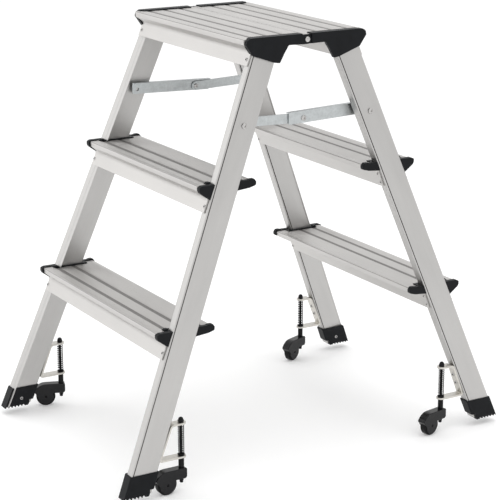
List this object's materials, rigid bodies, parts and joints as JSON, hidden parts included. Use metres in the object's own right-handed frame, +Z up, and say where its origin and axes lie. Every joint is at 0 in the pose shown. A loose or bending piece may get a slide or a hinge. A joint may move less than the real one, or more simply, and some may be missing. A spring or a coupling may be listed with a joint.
{
  "type": "folding step ladder",
  "caption": "Double-sided folding aluminium step ladder with ribbed treads, a hinged platform, folding stays, plastic feet and sprung swivel castors.",
  "frame": {"origin": "on the floor under the middle of the open ladder, where the castor wheels stand", "axes": "+X along the steps and the hinge axis to the right of the front frame, +Y from the front frame to the back frame, +Z up"},
  "size_m": [0.4773, 0.7042, 0.68],
  "materials": {
    "anodised_aluminium": "satin anodised extrusion",
    "ribbed_aluminium": "ribbed mill-finish extrusion",
    "zinc_steel": "zinc-plated sheet",
    "black_plastic": "moulded, fine grain",
    "gloss_plastic": "moulded, glossy",
    "wheel_plastic": "smooth hard wheel",
    "black_steel": "black plated",
    "rivet_steel": "plain rivet and bolt heads"
  },
  "bodies": {
    "front_frame": {"front_bottom_step": "ribbed_aluminium", "front_left_bottom_cap": "black_plastic", "front_left_castor_bracket": "zinc_steel", "front_left_castor_spring": "black_steel", "front_left_foot": "black_plastic", "front_left_long_strap_rivet": "rivet_steel", "front_left_middle_cap": "black_plastic", "front_left_platform_cap": "black_plastic", "front_left_stile": "anodised_aluminium", "front_middle_step": "ribbed_aluminium", "front_platform_half": "ribbed_aluminium", "front_right_bottom_cap": "black_plastic", "front_right_castor_bracket": "zinc_steel", "front_right_castor_spring": "black_steel", "front_right_foot": "black_plastic", "front_right_middle_cap": "black_plastic", "front_right_platform_cap": "black_plastic", "front_right_short_strap_rivet": "rivet_steel", "front_right_stile": "anodised_aluminium", "right_hinge_bolt": "rivet_steel"},
    "back_frame": {"back_bottom_step": "ribbed_aluminium", "back_left_bottom_cap": "black_plastic", "back_left_castor_bracket": "zinc_steel", "back_left_castor_spring": "black_steel", "back_left_foot": "black_plastic", "back_left_middle_cap": "black_plastic", "back_left_platform_cap": "black_plastic", "back_left_short_strap_rivet": "rivet_steel", "back_left_stile": "anodised_aluminium", "back_middle_step": "ribbed_aluminium", "back_platform_half": "ribbed_aluminium", "back_right_bottom_cap": "black_plastic", "back_right_castor_bracket": "zinc_steel", "back_right_castor_spring": "black_steel", "back_right_foot": "black_plastic", "back_right_long_strap_rivet": "rivet_steel", "back_right_middle_cap": "black_plastic", "back_right_platform_cap": "black_plastic", "back_right_stile": "anodised_aluminium", "left_hinge_bolt": "rivet_steel"},
    "right_short_strap": {"front_right_short_strap": "zinc_steel", "right_middle_rivet": "rivet_steel"},
    "right_long_strap": {"back_right_long_strap": "zinc_steel"},
    "left_short_strap": {"back_left_short_strap": "zinc_steel", "left_middle_rivet": "rivet_steel"},
    "left_long_strap": {"front_left_long_strap": "zinc_steel"},
    "front_right_plunger": {"front_right_castor_pin": "black_steel"},
    "front_right_swivel": {"front_right_castor_housing": "gloss_plastic"},
    "front_right_wheel": {"front_right_castor_wheel": "wheel_plastic"},
    "front_left_plunger": {"front_left_castor_pin": "black_steel"},
    "front_left_swivel": {"front_left_castor_housing": "gloss_plastic"},
    "front_left_wheel": {"front_left_castor_wheel": "wheel_plastic"},
    "back_right_plunger": {"back_right_castor_pin": "black_steel"},
    "back_right_swivel": {"back_right_castor_housing": "gloss_plastic"},
    "back_right_wheel": {"back_right_castor_wheel": "wheel_plastic"},
    "back_left_plunger": {"back_left_castor_pin": "black_steel"},
    "back_left_swivel": {"back_left_castor_housing": "gloss_plastic"},
    "back_left_wheel": {"back_left_castor_wheel": "wheel_plastic"}
  },
  "joints": [
    {"name": "fold", "type": "hinge", "parent": "front_frame", "child": "back_frame", "pos_m": [0, 0, 0.671], "axis": [-1, 0, 0], "range_deg": [0, 32]},
    {"name": "right_stay_stile", "type": "hinge", "parent": "front_frame", "child": "right_short_strap", "pos_m": [0.1611, -0.11463, 0.55], "axis": [1, 0, 0], "range_deg": [0, 31.2]},
    {"name": "right_stay_middle", "type": "hinge", "parent": "right_short_strap", "child": "right_long_strap", "pos_m": [0.1625, 0.005, 0.5462], "axis": [-1, 0, 0], "range_deg": [0, 100]},
    {"name": "left_stay_stile", "type": "hinge", "parent": "back_frame", "child": "left_short_strap", "pos_m": [-0.1611, 0.11463, 0.55], "axis": [-1, 0, 0], "range_deg": [0, 31.2]},
    {"name": "left_stay_middle", "type": "hinge", "parent": "left_short_strap", "child": "left_long_strap", "pos_m": [-0.1625, -0.005, 0.5462], "axis": [1, 0, 0], "range_deg": [0, 100]},
    {"name": "front_right_spring_travel", "type": "slide", "parent": "front_frame", "child": "front_right_plunger", "axis": [0, 0, 1], "range_m": [0, 0.011], "stiffness_N_per_m": 2500, "springref_m": -0.014, "deforming": ["front_right_castor_spring"]},
    {"name": "front_right_swivel_turn", "type": "hinge", "parent": "front_right_plunger", "child": "front_right_swivel", "pos_m": [0.21845, -0.24537, 0.03], "axis": [0, 0, 1], "continuous": true},
    {"name": "front_right_wheel_spin", "type": "hinge", "parent": "front_right_swivel", "child": "front_right_wheel", "pos_m": [0.21845, -0.27237, 0.0165], "axis": [1, 0, 0], "continuous": true},
    {"name": "front_left_spring_travel", "type": "slide", "parent": "front_frame", "child": "front_left_plunger", "axis": [0, 0, 1], "range_m": [0, 0.011], "stiffness_N_per_m": 2500, "springref_m": -0.014, "deforming": ["front_left_castor_spring"]},
    {"name": "front_left_swivel_turn", "type": "hinge", "parent": "front_left_plunger", "child": "front_left_swivel", "pos_m": [-0.21845, -0.24537, 0.03], "axis": [0, 0, 1], "continuous": true},
    {"name": "front_left_wheel_spin", "type": "hinge", "parent": "front_left_swivel", "child": "front_left_wheel", "pos_m": [-0.22768, -0.27074, 0.0165], "axis": [0.9397, -0.342, 0], "continuous": true},
    {"name": "back_right_spring_travel", "type": "slide", "parent": "back_frame", "child": "back_right_plunger", "axis": [0, 0, 1], "range_m": [0, 0.011], "stiffness_N_per_m": 2500, "springref_m": -0.014, "deforming": ["back_right_castor_spring"]},
    {"name": "back_right_swivel_turn", "type": "hinge", "parent": "back_right_plunger", "child": "back_right_swivel", "pos_m": [0.21845, 0.24537, 0.03], "axis": [0, 0, 1], "continuous": true},
    {"name": "back_right_wheel_spin", "type": "hinge", "parent": "back_right_swivel", "child": "back_right_wheel", "pos_m": [0.22406, 0.21896, 0.0165], "axis": [0.9781, 0.2079, 0], "continuous": true},
    {"name": "back_left_spring_travel", "type": "slide", "parent": "back_frame", "child": "back_left_plunger", "axis": [0, 0, 1], "range_m": [0, 0.011], "stiffness_N_per_m": 2500, "springref_m": -0.014, "deforming": ["back_left_castor_spring"]},
    {"name": "back_left_swivel_turn", "type": "hinge", "parent": "back_left_plunger", "child": "back_left_swivel", "pos_m": [-0.21845, 0.24537, 0.03], "axis": [0, 0, 1], "continuous": true},
    {"name": "back_left_wheel_spin", "type": "hinge", "parent": "back_left_swivel", "child": "back_left_wheel", "pos_m": [-0.20833, 0.22034, 0.0165], "axis": [0.9272, 0.3746, 0], "continuous": true}
  ],
  "couplings": [
    {"joint": "right_stay_stile", "follows": "fold", "ratio": 0.97022},
    {"joint": "right_stay_middle", "follows": "fold", "ratio": 3.1188},
    {"joint": "left_stay_stile", "follows": "fold", "ratio": 0.97022},
    {"joint": "left_stay_middle", "follows": "fold", "ratio": 3.1188}
  ]
}
